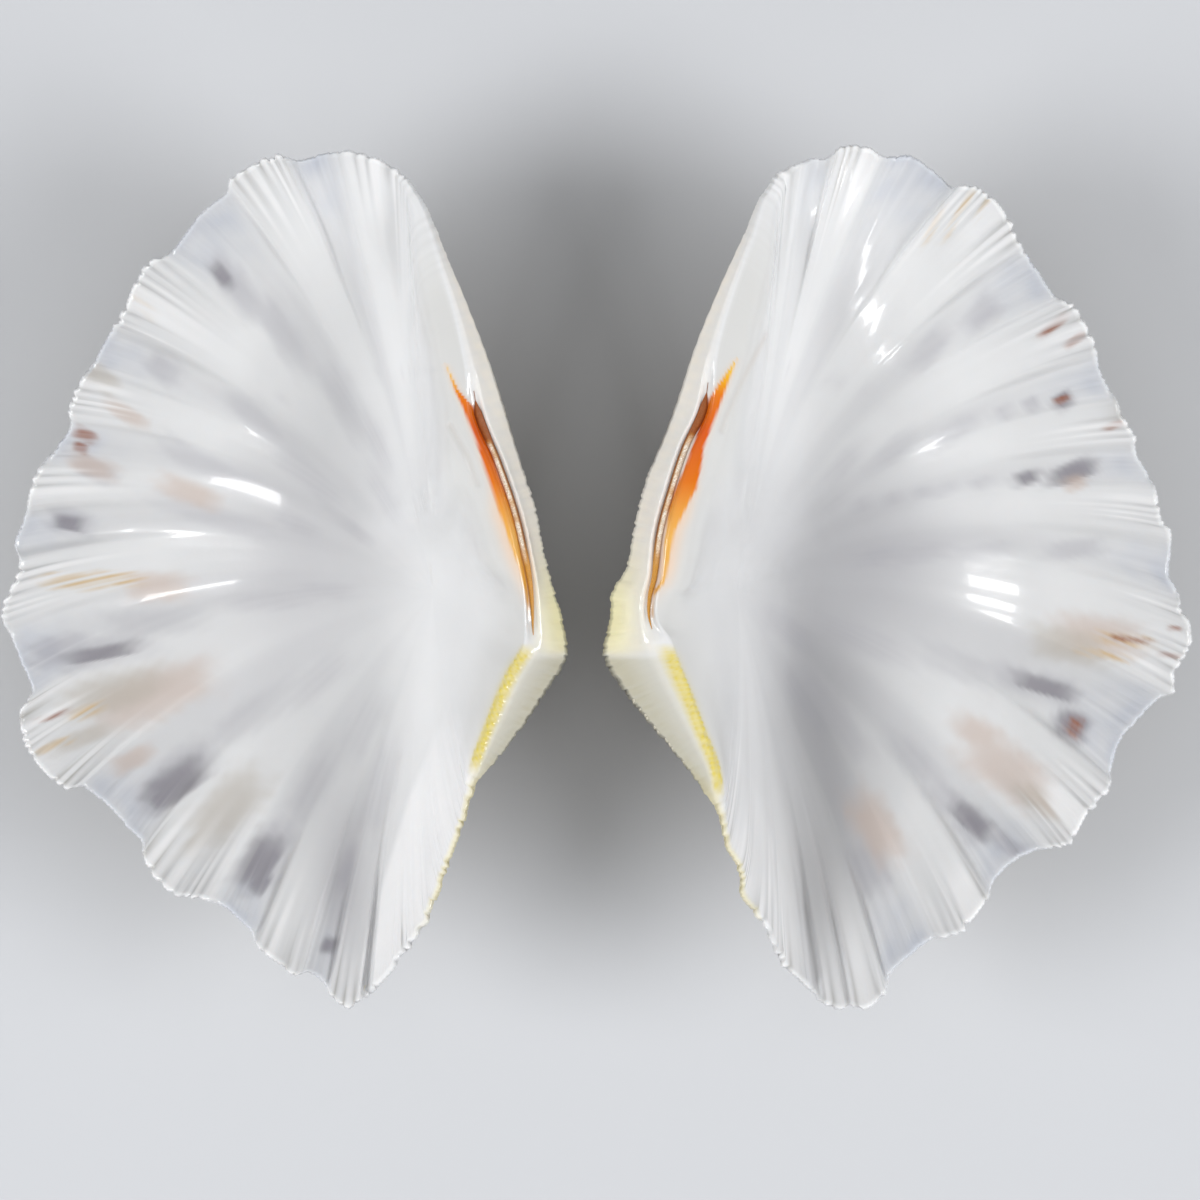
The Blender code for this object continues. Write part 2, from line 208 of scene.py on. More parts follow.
def bowl(points, edge, depth):
    """The height of a smooth bowl at plan points: -depth * (1 - (distance / reach) ^ power).

    Distance is from the bowl's centre, and reach is that of the edge with only its longest waves.
    """
    spoke = edge - BOWL_CENTRE
    turn = np.arctan2(spoke[:, 1], spoke[:, 0])
    even = np.linspace(-np.pi, np.pi, 256, endpoint=False)
    order = np.argsort(turn)
    radius = np.linalg.norm(spoke, axis=1)[order]
    waves = np.fft.rfft(np.interp(even, turn[order], radius, period=2 * np.pi))
    waves[6:] = 0
    smooth = np.fft.irfft(waves, 256)
    arm = points - BOWL_CENTRE
    reach = np.interp(np.arctan2(arm[..., 1], arm[..., 0]), even, smooth, period=2 * np.pi)
    return -depth * (1 - (np.linalg.norm(arm, axis=-1) / reach) ** BOWL_POWER)


def fade(share, reach):
    """1 at a share of 0, falling as (1 - share / reach)^2 to 0 at the reach and beyond."""
    return np.clip(1 - share / reach, 0, 1) ** 2


def turns(count, phase=0.0):
    """A sine that goes a whole number of times round the valve: sin(2 pi count column / columns + phase)."""
    return np.sin(2 * np.pi * count * np.arange(COLUMNS) / COLUMNS + phase)


def hashed(number, seed):
    """A steady draw from 0 to 1 for each whole number: what follows the point of a large sine."""
    return np.modf(np.abs(np.sin(number * 12.9898 + seed * 78.233) * 43758.5453))[0]


def riblets(length, seed):
    """Rounded ridges of uneven width along the margin: 1 - cos^4 of a phase that runs on unevenly.

    Returns their height, and for each its reach inwards, its depth and how far it sticks out.
    """
    count = round(length / RIBLET_PITCH)
    phase = count * np.arange(COLUMNS) / COLUMNS + 0.5 * turns(29, seed) + 0.35 * turns(47, 2 * seed)
    own = np.floor(phase)
    ridge = 1 - np.cos(np.pi * phase) ** 4
    reach = 3.5 + 7.0 * hashed(own, seed) ** 2
    return ridge, reach, 0.3 + 0.7 * hashed(own, seed + 1), hashed(own, seed + 2)


def near_line(points, line):
    """Distance from plan points to a line through a few places: the least of those to its stretches."""
    nearest = np.full(points.shape[:-1], 1e9)
    for start, end in zip(line[:-1], line[1:]):
        start = np.array(start)
        way = np.array(end) - start
        along = np.clip(((points - start) @ way) / (way @ way), 0, 1)
        nearest = np.minimum(nearest, np.linalg.norm(points - start - along[..., None] * way, axis=-1))
    return nearest


def spots(points, places, seed=0.0):
    """Soft blocks, each drawn out along its line to the umbo: exp(-(along / long)^4 - (across / wide)^4).

    A place is x, y, half length and half width. A half width below 0 makes the side clockwise crisp.
    """
    mask = np.zeros(points.shape[:-1])
    for x, y, long, wide in places:
        arm = points - (x, y)
        to_umbo = np.array(UMBO_CAVITY) - (x, y)
        to_umbo = to_umbo / np.linalg.norm(to_umbo)
        along = arm @ to_umbo
        across = arm @ np.array((-to_umbo[1], to_umbo[0]))
        rough = 0.5 * np.sin(0.9 * points[..., 0] + 1.1 * points[..., 1] + x + seed)
        rough *= np.sin(0.7 * along + 1.7 * across)
        crisp = (wide < 0) * (across < 0)
        size = np.abs(along / long) ** 4 + np.abs(across / wide) ** (4 + 8 * crisp)
        mask = np.maximum(mask, np.exp(-size * (1 + rough)))
    return mask


def tone(red, green, blue):
    """Linear light of a colour given in the usual steps: (step / 255)^2.2."""
    return (np.array((red, green, blue)) / 255) ** 2.2


def lay(colour, mask, paint):
    """Paints over a colour field by the share in the mask: colour + mask * (paint - colour)."""
    return colour + mask[..., None] * (paint - colour)


# Places of the stains inside each valve, in millimetres from the beak: x, y, half length, half width
LEFT_STAINS = {
    "grey": (
        (-47.9, 53.6, 2.6, 1.6), (-45.8, 50.8, 4.2, 1.8), (-40.2, 45.2, 5.6, 2.0),
        (-31.8, 35.4, 5.6, 1.7), (-57.0, 40.3, 2.4, 1.8), (-44.4, 33.3, 5.3, 1.5),
        (-64.5, 0.3, 7.0, 2.2), (-51.4, 26.7, 6.3, 1.7), (-37.4, 25.6, 6.3, 1.7),
        (-26.2, 22.8, 4.9, 1.4), (-69.6, 18.6, 3.1, 1.8), (-51.4, 19.7, 8.4, 1.6),
        (-38.8, 18.6, 3.0, 1.1), (-30.4, 17.6, 3.0, 1.0), (-70.7, 0.4, 4.2, 2.2),
        (-58.4, 4.3, 6.3, 2.0), (-42.3, 7.4, 6.3, 1.4), (-34.6, 8.8, 4.2, 1.3),
        (-56.3, -18.5, 3.9, 2.4), (-53.5, -15.7, 4.2, 2.6), (-44.4, -8.7, 6.3, 2.2),
        (-36.0, -4.1, 5.6, 2.0), (-42.7, -30.4, 2.4, 2.4), (-40.9, -26.9, 3.9, 2.2),
        (-36.0, -19.2, 5.6, 2.0), (-29.0, -10.8, 5.6, 2.0), (-31.1, -30.4, 3.4, 1.0),
        (-26.2, -19.2, 6.3, 1.8), (-26.9, 29.8, 4.2, 1.4), (-66.1, 25.6, 2.8, 1.4),
    ),
    "dark": (
        (-48.6, 53.4, 1.8, 1.1), (-55.2, -18.4, 4.6, -2.4), (-56.8, -20.2, 2.0, -1.4),
        (-43.4, -29.4, 4.0, -2.4), (-43.2, -32.2, 1.7, -1.5), (-70.0, 18.4, 1.8, -1.1),
        (-66.0, 0.0, 4.6, -1.0), (-33.2, -41.0, 1.2, 1.0),
    ),
    "peach": (
        (-58.4, 9.5, 3.9, 2.0), (-57.0, -5.2, 6.7, 3.1), (-53.5, 22.8, 4.2, 1.7),
        (-61.9, 33.7, 3.1, 1.0), (-66.8, 26.3, 3.1, 1.4), (-61.2, -15.0, 2.8, 1.4),
        (-60.5, -6.8, 6.0, 3.4),
    ),
    "olive": (
        (-47.8, -21.8, 6.0, 3.2), (-64.0, -5.5, 6.5, 2.6), (-65.0, 38.5, 2.5, 1.5),
        (-68.0, -12.0, 4.0, 1.2), (-51.0, -25.5, 4.0, 1.2),
    ),
    "yellow": (
        (-69.6, 10.2, 4.4, 1.2), (-64.0, 10.5, 3.8, 1.1), (-71.7, -12.9, 2.6, 0.6),
        (-67.6, -8.2, 2.2, 0.9), (-59.1, 48.7, 2.0, 0.9),
    ),
    "rust": (
        (-67.4, 30.6, 1.4, 0.9), (-68.0, 28.9, 1.0, 0.8), (-72.4, -8.9, 2.2, 0.45),
    ),
}
RIGHT_STAINS = {
    "grey": (
        (-53.5, 47.7, 2.7, 1.8), (-46.5, 43.1, 3.6, 1.7), (-65.0, 35.4, 1.4, 1.2),
        (-60.8, 35.1, 1.2, 1.2), (-57.0, 34.0, 1.2, 1.2), (-50.0, 31.2, 4.2, 1.4),
        (-41.6, 29.0, 4.2, 1.4), (-34.6, 27.0, 3.6, 1.3), (-66.8, 25.6, 2.3, 1.5),
        (-60.5, 24.8, 1.7, 1.2), (-53.9, 23.9, 1.5, 1.1), (-48.9, 23.2, 1.2, 1.0),
        (-45.8, 22.8, 1.1, 1.0), (-41.6, 22.1, 1.2, 1.0), (-37.4, 21.4, 1.2, 0.9),
        (-33.2, 21.0, 1.2, 0.8), (-66.8, 14.7, 3.6, 1.3), (-54.2, 14.3, 4.2, 1.3),
        (-45.8, 14.0, 4.2, 1.3), (-39.5, 13.6, 3.1, 1.2), (-64.0, -5.2, 3.4, 2.0),
        (-66.1, -10.5, 2.0, 2.2), (-58.4, -3.8, 3.6, 2.0), (-50.0, -1.7, 5.6, 2.0),
        (-37.4, 1.8, 7.0, 2.2), (-26.2, 3.5, 4.9, 2.0), (-52.1, -24.5, 2.2, 2.0),
        (-48.6, -20.6, 3.6, 2.0), (-44.4, -15.3, 5.0, 2.0), (-34.6, -11.1, 5.0, 1.8),
        (-37.4, -30.4, 3.6, 2.6), (-30.4, -6.6, 5.6, 2.8), (-57.0, -26.9, 2.5, 1.2),
    ),
    "dark": (
        (-66.4, 25.5, 3.2, -1.3), (-64.9, 35.6, 1.1, 1.0), (-66.3, -10.0, 2.2, 1.9),
        (-52.3, -23.6, 3.2, -1.6), (-60.2, 24.8, 1.6, 1.0), (-63.0, -4.8, 4.0, -1.2),
    ),
    "peach": (
        (-70.3, 2.4, 5.6, 2.8), (-57.0, -16.4, 6.2, 3.4), (-38.8, -24.8, 5.0, 2.8),
        (-53.5, -11.5, 3.4, 2.0), (-61.2, -19.9, 3.9, 1.7), (-66.8, 24.0, 1.4, 1.1),
    ),
    "olive": ((-62.0, -21.0, 4.0, 1.6), (-66.0, 1.0, 5.0, 2.5)),
    "yellow": (
        (-73.8, 1.8, 3.6, 0.9), (-71.0, -0.3, 3.4, 0.6), (-50.0, 61.7, 3.6, 0.5),
        (-53.5, 62.7, 2.5, 0.5), (-46.5, 59.9, 2.5, 0.5),
    ),
    "rust": (
        (-63.3, 45.9, 2.2, 0.6), (-66.1, 43.8, 1.6, 0.6), (-64.7, 35.7, 1.0, 0.6),
        (-71.7, 31.9, 1.4, 0.5), (-80.1, 3.5, 1.0, 0.4), (-79.4, -0.3, 1.4, 0.4),
        (-66.5, -10.5, 1.0, 1.5), (-74.4, 1.9, 2.6, 0.4),
    ),
}
# The orange nymph beside the ligament: y, and its outer and inner edge counted from the outline
LEFT_NYMPH = (
    (3.5, 4.6, 4.8), (8.8, 3.5, 3.9), (12.0, 3.0, 3.8), (16.2, 3.0, 4.5), (20.0, 3.3, 5.0), (24.5, 3.4, 4.9),
    (29.8, 3.5, 5.0), (34.7, 4.1, 5.5), (36.8, 5.3, 5.9), (40.6, 6.0, 6.0),
)
RIGHT_NYMPH = (
    (4.3, 5.9, 6.1), (12.0, 4.9, 5.6), (17.2, 4.4, 5.7), (20.3, 4.2, 6.6), (23.0, 4.3, 7.2), (25.9, 4.3, 6.5),
    (28.7, 4.1, 5.7), (31.9, 4.1, 5.7), (35.8, 4.1, 5.9), (37.6, 4.7, 6.0), (41.2, 6.1, 6.1),
)
# Lines on the inside: the low ridge beside the hinge plate, the muscle scar and the dent beside the nymph
LEFT_RIDGE = ((-30.4, 64.8), (-23.4, 50.8), (-18.8, 43.8), (-18.6, 38.0))
RIGHT_RIDGE = ((-29.7, 64.8), (-26.2, 55.0), (-22.5, 43.8), (-20.5, 38.5))
LEFT_SCAR = ((-43.7, 35.4), (-29.0, 39.9), (-17.8, 39.6))
RIGHT_SCAR = ((-26.2, 40.3), (-37.4, 37.5), (-44.4, 33.3))
LEFT_DENT = ((-16.1, 31.9), (-13.6, 27.7), (-12.2, 23.7))
RIGHT_DENT = ((-22.7, 44.5), (-19.0, 37.5), (-16.4, 31.2))
# Greyer pools deep in the bowl, partly the shell's own grey and partly painted shade: the centre, the half
# sizes and the colour
LEFT_DEEP_GREY_AND_SHADE = (
    ((-38.0, 14.0), (12.0, 16.0), tone(206, 206, 209)), ((-31.5, -32.0), (4.5, 13.0), tone(192, 192, 196)),
)
RIGHT_DEEP_GREY_AND_SHADE = (
    ((-30.0, -6.0), (9.0, 22.0), tone(166, 166, 169)), ((-38.0, 14.0), (14.0, 12.0), tone(182, 182, 186)),
    ((-31.0, -30.0), (4.0, 16.0), tone(172, 172, 174)),
)

# Colours of the inside, of the hinge and of the outside
WHITE = tone(229, 230, 231)
# Pure white laid as painted highlight on riblet crests and glints, as painted light on the front end, and on
# lobes deep in the bowl
CREST_WHITE_AND_HIGHLIGHT = tone(252, 252, 253)
MIDDLE_GREY = tone(214, 214, 217)
PLATE_WHITE = tone(212, 212, 210)
THIN_BLUE = tone(196, 202, 215)
SPOT_GREY = tone(158, 156, 167)
SPOT_DARK = tone(112, 106, 117)
PEACH = tone(208, 186, 172)
OLIVE = tone(192, 184, 172)
YELLOW = tone(214, 182, 128)
RUST = tone(152, 88, 56)
GROOVE_STAIN = tone(176, 168, 150)
DENT_BEIGE = tone(206, 192, 180)
# The nymph's colours at these places, in millimetres from the beak towards its tip
NYMPH_PLACES = (4, 10, 16, 20, 24, 31, 36, 39.5)
NYMPH_TONES = np.array([
    tone(204, 142, 54), tone(232, 172, 76), tone(238, 180, 90), tone(234, 158, 66), tone(224, 116, 0),
    tone(214, 88, 0), tone(228, 120, 0), tone(244, 192, 34),
])
HALO = tone(246, 208, 172)
BAND_YELLOW = tone(226, 206, 84)
BEAK_YELLOW = tone(255, 247, 188)
LUNULE_GREY_AND_SHADE = tone(200, 194, 164)
SLOPE_CREAM = tone(254, 246, 232)
OUTSIDE_CREAM = tone(232, 226, 208)
OUTSIDE_APRICOT = tone(226, 180, 128)
OUTSIDE_PLUM = tone(142, 84, 92)


def rim_rings(plan, nicks, on_hinge, into, fold, slope, plate, drop, depth):
    """Rings from the outline over the slope and the groove: a cubic through the corners of the section.

    A ring is its distance from the outline, the nicks that are left there, and its points. On the hinge
    side the nicks of the outline die out within 2 mm.
    """
    top = FOLD_HEIGHT * fold
    grooved = np.clip(depth / GROOVE_DEPTH, 0, 1)
    half = slope / 4 + grooved * (GROOVE_HALF - slope / 4)
    floor = slope / 10 + grooved * (GROOVE_FLOOR_HALF - slope / 10)
    corners = np.array((
        (0 * slope, top - drop),
        (0.45 * slope, top - 0.4 * drop),
        (slope - half, top - 0.1 * drop),
        (slope - floor, top - depth - 0.03 * drop),
        (slope + floor, top - depth),
        (slope + half, top),
        (slope + (half + plate) / 2, top - 0.05),
        (slope + plate, top - 0.25),
    ))
    grade = np.gradient(corners, axis=0)
    rings = []
    for stop in (*RIM_STOPS, 5.5, 6, 6.5, 7):
        k = min(int(stop), 6)
        t = stop - k
        rise = t * t * (3 - 2 * t)
        bend = t * (1 - t) ** 2 * grade[k] - t * t * (1 - t) * grade[k + 1]
        width, height = corners[k] * (1 - rise) + corners[k + 1] * rise + 0.7 * bend
        left = nicks * (1 - on_hinge * np.clip(width / 2, 0, 1))[:, None]
        rings.append((width, left, np.column_stack([plan + left + into * width[:, None], height])))
    return rings


def wall_rings(edge, nicks, base, into, end, station_edge, depth, fold, fold_reach, shares):
    """Rings from an edge of the rim to one end of the shell, along lines that bow as the ribs do.

    At share s each line is base (1 - s)^2 + knee 2 s (1 - s) + end s^2 in plan, and follows the bowl in
    height. The nicks of the outline die out first, then the lobes, and the folds last.
    """
    way = np.array(end) - base
    turn = np.arctan2(-way[:, 1], -way[:, 0])
    bow = BOW * np.clip(np.cos(turn - BOW_TOWARDS), 0, 1)[:, None]
    left = np.column_stack([-way[:, 1], way[:, 0]])
    knee = base + KNEE * way + bow * left + PUSH * np.linalg.norm(way, axis=1, keepdims=True) * into
    plan = edge[:, :2]
    even = plan - nicks
    lift = edge[:, 2] - FOLD_HEIGHT * fold - bowl(even, station_edge, depth)
    dip = bowl(even, station_edge, depth) - bowl(plan, station_edge, depth)
    rings = []
    for share in shares:
        at = base * (1 - share) ** 2 + knee * 2 * share * (1 - share) + np.array(end) * share**2
        at += (even - base) * fade(share, 0.6) + nicks * fade(share, 0.12)
        height = bowl(at, station_edge, depth) + lift * fade(share, 0.5) + dip * fade(share, 0.12)
        height += FOLD_HEIGHT * fold * fade(share, fold_reach)
        rings.append(np.column_stack([at, height]))
    return rings


def respaced(rings, count):
    """The same surface with new rings, by distance along each column from the first ring.

    The first few are a fine step apart. After them the distance grows as a power of the ring's number.
    """
    grid = np.array(rings)
    gaps = np.linalg.norm(np.diff(grid, axis=0), axis=2)
    run = np.concatenate([np.zeros((1, COLUMNS)), np.cumsum(gaps, axis=0)])
    whole = run[-1]
    step = np.minimum(FINE_STEP, 0.9 * whole / count)
    growth = (whole - step * count) / (count - FINE_RINGS) ** 1.4
    column = np.arange(COLUMNS)
    result = []
    for number in range(1, count + 1):
        goal = step * number + growth * max(number - FINE_RINGS, 0) ** 1.4
        k = np.clip((run < goal).sum(axis=0) - 1, 0, len(grid) - 2)
        gap = np.maximum(run[k + 1, column] - run[k, column], 1e-9)
        part = np.clip((goal - run[k, column]) / gap, 0, 1)[:, None]
        result.append(grid[k, column] * (1 - part) + grid[k + 1, column] * part)
    return result


def softened(grid, amount, passes):
    """Rounds the section: each point moves by half of amount towards the middle of its two neighbours."""
    for _ in range(passes):
        middle = (grid[:-2] + grid[2:]) / 2
        grid[1:-1] += 0.5 * amount[1:-1, :, None] * (middle - grid[1:-1])


def outward(grid):
    """The unit direction out of the shell at every point: the cross product of the ways along and up."""
    along = np.roll(grid, -1, axis=1) - np.roll(grid, 1, axis=1)
    up = np.gradient(grid, axis=0)
    normal = np.cross(along, up)
    return normal / np.maximum(np.linalg.norm(normal, axis=2, keepdims=True), 1e-9)


def plan_heights(surface, cell):
    """The mean height of a surface in each square cell of the plan, and the corner of the first cell.

    Empty cells take the mean of those beside them.
    """
    corner = surface[..., :2].reshape(-1, 2).min(axis=0) - 3 * cell
    at = ((surface[..., :2].reshape(-1, 2) - corner) / cell).astype(int)
    shape = tuple(at.max(axis=0) + 4)
    total, count = np.zeros(shape), np.zeros(shape)
    np.add.at(total, (at[:, 0], at[:, 1]), surface[..., 2].ravel())
    np.add.at(count, (at[:, 0], at[:, 1]), 1)
    height = total / np.maximum(count, 1)
    known = (count > 0) * 1.0
    for _ in range(12):
        beside = sum(np.roll(known * height, step, axis) for step in (-1, 1) for axis in (0, 1))
        share = sum(np.roll(known, step, axis) for step in (-1, 1) for axis in (0, 1))
        height = np.where(known > 0, height, beside / np.maximum(share, 1))
        known = np.maximum(known, share > 0)
    return height, corner


def held_below(lower, upper, gap, cell=0.7):
    """Lowers the points of one surface that come nearer than a gap under another one.

    The height of the upper one is read between the four cells about a point.
    """
    height, corner = plan_heights(upper, cell)
    at = (lower[..., :2] - corner) / cell - 0.5
    k = np.clip(at.astype(int), 0, np.array(height.shape) - 2)
    t = at - k
    low_side, high_side = (
        height[row, k[..., 1]] * (1 - t[..., 1]) + height[row, k[..., 1] + 1] * t[..., 1]
        for row in (k[..., 0], k[..., 0] + 1)
    )
    ceiling = low_side * (1 - t[..., 0]) + high_side * t[..., 0] - gap
    lower[..., 2] = np.minimum(lower[..., 2], ceiling)


def hinge_share(slope):
    """0 on the thin margin and 1 where the hinge plate is, by the width of the outer slope."""
    return np.clip((slope - 0.6) / 0.8, 0, 1)


def rolling_mean(values, fall, half_count):
    """A mean over the columns to both sides, with weights that fall off as exp(-(columns / fall)^2)."""
    weights = np.exp(-((np.arange(-half_count, half_count + 1) / fall) ** 2))
    return np.convolve(np.tile(values, 3), weights / weights.sum(), "same")[COLUMNS : 2 * COLUMNS]


def valve_outline(valve):
    """Everything about the outline that has one value a column: the lobes, the hinge side and the riblets."""
    seed = valve["seed"]
    rows = stations(valve["margin"], valve["hinge"], valve["groove"])
    spread, at = spread_round(rows[:, :2])
    length = at[-1] + at[1]
    plan = spread(rows[:, :2])
    fold, slope, plate, drop, depth = spread(rows[:, 2:]).T
    fold = np.tanh(3.0 * fold) / np.tanh(3.0)
    slope = np.maximum(slope, 0.3)
    into = spread(inward(rows[:, :2], 3))
    into /= np.linalg.norm(into, axis=1, keepdims=True)
    hinge = hinge_share(slope)
    soft_fold = rolling_mean(fold, LOBE_FALL, 30)
    lobe, trough = (np.clip(side * 1.3 * soft_fold + 0.1, 0, 1) for side in (1, -1))
    ridge, riblet_reach, riblet_size, stick_out = riblets(length, seed)

    # The outline is nicked between its riblets, and lumpy where the outer ribs end on the hinge side
    nick = (1 - ridge) * (0.14 + 0.24 * lobe) * riblet_size
    nick += 0.45 * (stick_out - 0.3) * (0.5 + 0.7 * lobe)
    nick *= 1 - hinge
    nick += 0.06 * (1 + turns(431, 2 * turns(17, seed))) * (1 - hinge)
    lump_phase = length / LUMP_PITCH * np.arange(COLUMNS) / COLUMNS
    lump_phase += 0.6 * turns(13, seed) + 0.3 * turns(31, seed)
    lumps = 1.2 * np.modf(lump_phase + 9)[0] ** 2 - 0.3 * turns(round(length / 0.8), seed)
    lumps *= np.clip((28 - plan[:, 1]) / 3, 0, 1) * np.clip((plan[:, 1] + 22) / 3, 0, 1)
    lump = (0.17 * lumps - 0.15) * hinge
    lump -= 0.8 * np.exp(-(((plan[:, 1] + 30) / 8) ** 2)) * (plan[:, 0] > -24)
    return SimpleNamespace(
        rows=rows, spread=spread, at=at, length=length, plan=plan, into=into, hinge=hinge,
        fold=fold, slope=slope, plate=np.maximum(plate, 0.45), drop=np.maximum(drop, 0.9),
        depth=np.clip(depth, 0, GROOVE_DEPTH), lobe=lobe, trough=trough * (1 - hinge),
        ridge=ridge, riblet_reach=riblet_reach, riblet_size=riblet_size, stick_out=stick_out,
        lumps=lumps, nicks=into * (nick + lump)[:, None],
    )


def valve_rings(on):
    """The rings of a valve from the beak outside, over the rim, to the umbo cavity inside, still plain.

    It also notes for each point whether it is outside, on the rim or inside, its reach, which is the way
    to the outline along the surface, and how far across the rim it lies.
    """
    rows, spread = on.rows, on.spread
    rim = rim_rings(on.plan, on.nicks, on.hinge, on.into, on.fold, on.slope, on.plate, on.drop, on.depth)
    outer_edge = rows[:, :2]
    inner_edge = rows[:, :2] + inward(rows[:, :2], 3) * (rows[:, 3] + rows[:, 4])[:, None]
    outer = wall_rings(
        rim[0][2], rim[0][1], spread(eased(outer_edge)), spread(inward(eased(outer_edge), 7)), BEAK,
        outer_edge, OUTER_DEPTH, on.fold, 0.9, np.linspace(0, 1, OUTER_RINGS + 2)[1:] ** 1.15,
    )
    wall = wall_rings(
        rim[-1][2], rim[-1][1], spread(eased(inner_edge)), spread(inward(eased(inner_edge), 7)), UMBO_CAVITY,
        inner_edge, INNER_DEPTH, on.fold, 0.75, np.linspace(0, 1, 140)[1:] ** 1.3,
    )
    slopes = rim[: len(RIM_STOPS)]
    inner = respaced([ring for _, _, ring in rim[len(RIM_STOPS) - 1 :]] + wall, INNER_RINGS)
    grid = np.array(outer[::-1] + [ring for _, _, ring in slopes] + inner)
    on.first_rim = len(outer)
    on.first_inner = on.first_rim + len(slopes)
    ring_number = np.arange(len(grid))[:, None]
    on.outer = (ring_number < on.first_rim) * 1.0
    on.inner = (ring_number >= on.first_inner) * 1.0
    on.rim = 1.0 - on.outer - on.inner

    step = np.linalg.norm(np.diff(grid, axis=0), axis=2)
    on.reach = np.zeros(grid.shape[:2])
    on.reach[on.first_rim + 1 :] = np.cumsum(step[on.first_rim :], axis=0)
    on.reach[: on.first_rim] = np.cumsum(step[: on.first_rim][::-1], axis=0)[::-1]
    on.across = np.zeros(grid.shape[:2])
    on.across[on.first_rim : on.first_inner] = np.array([width for width, _, _ in slopes])
    inside_way = np.cumsum(step[on.first_inner - 1 :], axis=0)
    on.across[on.first_inner :] = on.across[on.first_inner - 1] + inside_way

    # The hinge plate rolls over into the bowl with no edge, and the deep bowl is quite smooth
    past_groove = np.clip((on.across - on.slope - GROOVE_HALF) / 1.5, 0, 1)
    in_bowl = on.inner * past_groove * np.clip((30 - on.across) / 10, 0, 1)
    near_margin = np.clip((on.across - 1.0) / 2.0, 0, 1)
    before_end = np.clip((len(grid) - 12 - ring_number) / 12, 0, 1)
    hinge_area = rolling_mean(on.hinge, HINGE_FALL, 90)
    amount = in_bowl * before_end * (hinge_area + 0.25 * near_margin * (1 - hinge_area))
    softened(grid, amount, ROLL_PASSES)
    beside = sum(np.roll(grid, step, axis=1) for step in range(-12, 13)) / 25
    return grid + (on.inner * np.clip((on.reach - 14) / 10, 0, 1))[..., None] * (beside - grid)


def carve(grid, valve, on):
    """Cuts and raises the fine relief, and notes where the toothed band and the nymph are.

    Riblets, folds, scar and ridge move a point up or down. All other relief moves it square to the wall.
    """
    seed, reach, across = valve["seed"], on.reach, on.across
    margin = 1 - on.hinge
    x, y = grid[..., 0], grid[..., 1]

    # Riblets are cut straight down into the margin, and fade on their way inwards
    cut = (1 - on.ridge) * on.riblet_size
    on.margin_line = cut * np.exp(-((reach / on.riblet_reach) ** 2)) * (0.12 + 0.88 * on.lobe) * margin
    on.ripple = turns(83, seed) * turns(29, 1.0) + 0.6 * turns(131, 2.0)
    drop_down = -0.55 * on.margin_line * (1 - on.outer)
    drop_down += 0.32 * on.fold * np.exp(-(((reach - 18) / 11) ** 2)) * on.inner * margin
    drop_down += 0.06 * on.ripple * np.exp(-(((reach - 9) / 8) ** 2)) * on.inner * margin
    drop_down -= 0.05 * np.exp(-((near_line(grid[..., :2], valve["scar"]) / 0.5) ** 2)) * on.inner
    drop_down -= 0.3 * np.exp(-((near_line(grid[..., :2], valve["dent"]) / 0.4) ** 2)) * on.inner
    rib = 0.8 * np.exp(-((near_line(grid[..., :2], valve["ridge"]) / 2.4) ** 2))
    drop_down += rib * on.inner * np.clip(reach / 8, 0, 1)

    # Outside, ribs and riblets run to the margin and growth steps cross them
    outer_ribs = -0.4 * on.fold * np.exp(-(((reach - 20) / 16) ** 2))
    outer_ribs += 0.22 * cut * (1 - 0.6 * np.clip(reach / 40, 0, 1))
    on.growth = np.sin(reach * 2.1 + 0.8 * on.fold + turns(7, seed)) ** 8
    on.growth += 0.5 * np.sin(reach * 0.9 + 1.0) ** 12
    relief = on.outer * (outer_ribs - 0.16 * on.growth) * np.clip(reach / 2, 0, 1)
    slant = np.sin(2.9 * y + 1.7 * across + 1.5 * turns(11, seed))
    relief -= on.rim * 0.035 * (on.lumps + slant) * np.clip(1.2 - 1.2 * across / on.slope, 0, 1) * on.hinge

    # A toothed band lies along the plate below the beak
    on.below_beak = np.clip(-(y - 1.5) / 2.0, 0, 1) * np.clip((y + 26.0) / 3.0, 0, 1) * on.hinge
    from_band = across - (on.slope + 0.55 * on.plate)
    on.band = np.exp(-((from_band / (0.42 * on.plate + 0.25)) ** 4)) * on.below_beak * (1 - on.outer)
    tooth_row = turns(round(on.length / TOOTH_PITCH), 2 * turns(41, seed))
    on.teeth = np.clip(tooth_row * np.cos(4.0 * across + 3 * turns(53, 1.0)), -0.3, 1)
    relief += 0.26 * on.band * on.teeth

    # The nymph is a smooth raised lens along the inner side of the ligament
    nymph = np.array(valve["nymph"])
    on.nymph_start, on.nymph_stop = (np.interp(y, nymph[:, 0], nymph[:, side]) for side in (1, 2))
    on.beside_nymph = (y > nymph[0, 0]) & (y < nymph[-1, 0]) & (x > -24)
    feather = np.clip((across - on.nymph_start) / 0.15 + 0.5, 0, 1)
    feather *= np.clip((on.nymph_stop - across) / 0.3 + 0.5, 0, 1)
    on.nymph = feather * on.beside_nymph * (1 - on.outer)
    relief += 0.18 * on.nymph * (1 - on.rim)
    grid += outward(grid) * relief[..., None]
    grid[..., 2] += drop_down

    # The outer wall keeps clear of the inner one, all but at the thin edge
    free = grid[: on.first_rim].copy()
    held_below(free, grid[on.first_inner :], WALL_GAP)
    away_from_edge = reach[: on.first_rim] > 2.5
    grid[: on.first_rim][away_from_edge] = free[away_from_edge]


